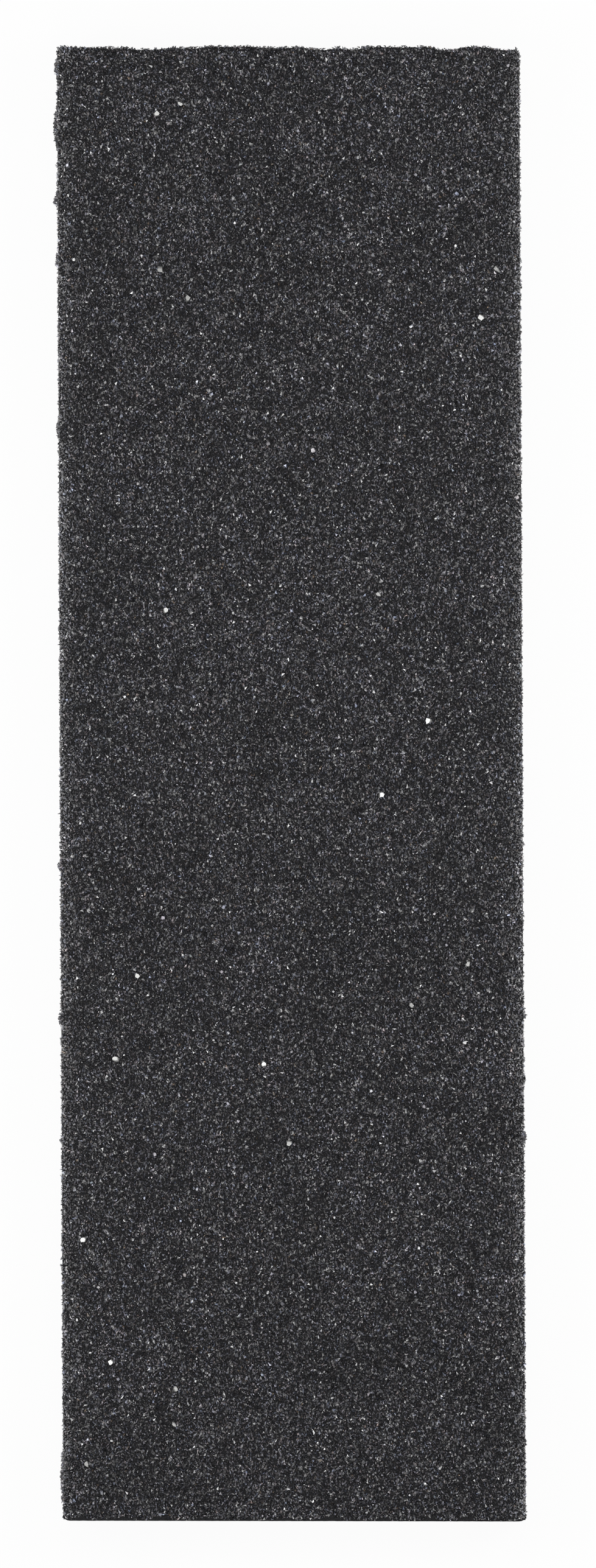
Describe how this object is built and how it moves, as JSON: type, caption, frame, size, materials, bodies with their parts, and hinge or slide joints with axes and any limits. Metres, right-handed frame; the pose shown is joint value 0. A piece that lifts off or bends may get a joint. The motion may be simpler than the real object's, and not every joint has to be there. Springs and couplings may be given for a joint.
{
  "type": "sanding stick",
  "caption": "Flat double-sided sanding stick: coarse black abrasive sheets glued over foam pads to a stiff plastic strip, for shaping and smoothing by hand.",
  "frame": {"origin": "centre of the underside, on the back grain's flat face", "axes": "+X across the stick, +Y along it towards the end at the top of the picture, +Z out of the pictured face"},
  "size_m": [0.028, 0.0892, 0.004],
  "materials": {
    "grain": "coarse crushed black silicon carbide",
    "make_coat": "cured dark resin",
    "backing_paper": "latex-treated paper, dark",
    "adhesive": "pressure-sensitive film",
    "foam": "closed-cell charcoal foam",
    "core_plastic": "satin grey sheet"
  },
  "bodies": {
    "root": {"core_strip": "core_plastic", "front_core_film": "adhesive", "front_foam_pad": "foam", "front_sheet_film": "adhesive", "front_backing_paper": "backing_paper", "front_make_coat": "make_coat", "front_grain_coat": "grain", "back_core_film": "adhesive", "back_foam_pad": "foam", "back_sheet_film": "adhesive", "back_backing_paper": "backing_paper", "back_make_coat": "make_coat", "back_grain_coat": "grain"}
  },
  "joints": []
}
